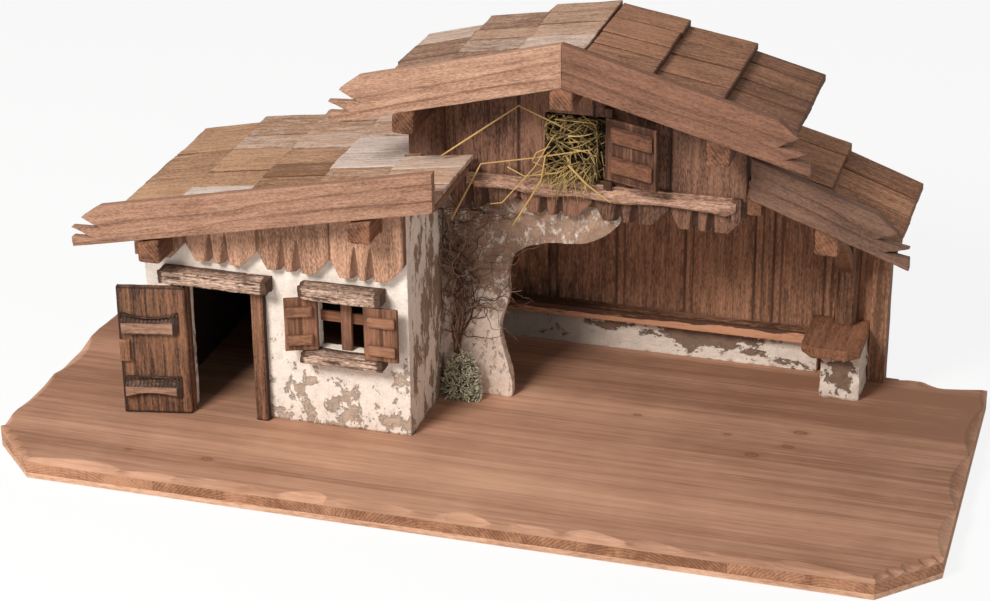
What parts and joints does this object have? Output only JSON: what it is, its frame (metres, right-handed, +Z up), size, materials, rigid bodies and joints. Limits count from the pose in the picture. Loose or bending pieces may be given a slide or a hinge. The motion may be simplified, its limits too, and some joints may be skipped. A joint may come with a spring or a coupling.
{
  "type": "toy stable",
  "caption": "Wooden toy stable on a base board: plastered house with opening door, window shutters and hay hatch, open bay with arch, stepped shingled roofs with carved bargeboards.",
  "frame": {"origin": "centre of the bounding box in plan, at the underside of the base board", "axes": "+X to the right along the base board's length, +Y to the back, +Z up; the front faces -Y"},
  "size_m": [0.8, 0.349, 0.365],
  "materials": {
    "base_board": "oiled",
    "base_core": "sawn",
    "plaster": "matt, hand trowelled",
    "dark_boards": "stained",
    "burnt_wood": "flamed",
    "grey_trim": "chiselled",
    "red_wood": "stained",
    "beam_wood": "stained",
    "roof_board": "sawn",
    "shingle": "split",
    "bargeboard": "carved",
    "light_wood": "sawn",
    "pin_steel": "drawn",
    "hay": "dry",
    "roots": "dry",
    "moss": "dry"
  },
  "bodies": {
    "stable": {"base_bottom_layer": "base_board", "base_top_layer": "base_board", "base_core_staves": "base_core", "house_front_wall": "plaster", "house_left_wall": "plaster", "house_right_wall": "plaster", "arch_wall": "plaster", "low_wall": "plaster", "pier": "plaster", "house_cladding": "dark_boards", "gable_panel": "dark_boards", "gable_cladding": "dark_boards", "upper_left_wall": "dark_boards", "back_wall_boards": "dark_boards", "right_back_panel": "dark_boards", "door_post_left": "burnt_wood", "door_post_right": "burnt_wood", "hatch_pivot_blocks": "burnt_wood", "corner_post": "burnt_wood", "knee_brace": "burnt_wood", "door_lintel": "grey_trim", "window_lintel": "grey_trim", "window_sill": "grey_trim", "window_mullion": "red_wood", "window_transom": "red_wood", "house_purlin_low": "beam_wood", "house_purlin_high": "beam_wood", "left_purlin": "beam_wood", "ridge_purlin": "beam_wood", "right_purlin": "beam_wood", "lower_purlin": "beam_wood", "lower_roof_ledger": "beam_wood", "cornice_beam": "beam_wood", "house_roof_board": "roof_board", "main_left_roof_board": "roof_board", "main_right_roof_board": "roof_board", "lower_roof_board": "roof_board", "house_shingles": "shingle", "main_left_shingles": "shingle", "main_right_shingles": "shingle", "lower_shingles": "shingle", "house_bargeboard": "bargeboard", "main_left_bargeboard": "bargeboard", "main_right_bargeboard": "bargeboard", "lower_bargeboard": "bargeboard", "low_wall_plank": "light_wood", "pier_cap": "light_wood", "pivot_pins": "pin_steel", "hay_bundle": "hay", "climbing_roots": "roots", "moss_clump": "moss"},
    "door": {"door_leaf": "burnt_wood", "door_ledges": "burnt_wood", "door_handle": "burnt_wood"},
    "left_shutter": {"left_shutter_boards": "red_wood", "left_shutter_battens": "red_wood"},
    "right_shutter": {"right_shutter_boards": "red_wood", "right_shutter_battens": "red_wood"},
    "hatch": {"hatch_leaf": "burnt_wood", "hatch_ledges": "burnt_wood"}
  },
  "joints": [
    {"name": "door_hinge", "type": "hinge", "parent": "stable", "child": "door", "pos_m": [-0.2527, -0.0635, 0.08], "axis": [0, 0, 1], "range_deg": [-6, 168]},
    {"name": "left_shutter_hinge", "type": "hinge", "parent": "stable", "child": "left_shutter", "pos_m": [-0.135, -0.0575, 0.117], "axis": [0, 0, 1], "range_deg": [-8, 118]},
    {"name": "right_shutter_hinge", "type": "hinge", "parent": "stable", "child": "right_shutter", "pos_m": [-0.0895, -0.065, 0.117], "axis": [0, 0, 1], "range_deg": [-140, 0]},
    {"name": "hatch_hinge", "type": "hinge", "parent": "stable", "child": "hatch", "pos_m": [0.0922, 0.0279, 0.264], "axis": [0, 0, 1], "range_deg": [-85, 8]}
  ]
}
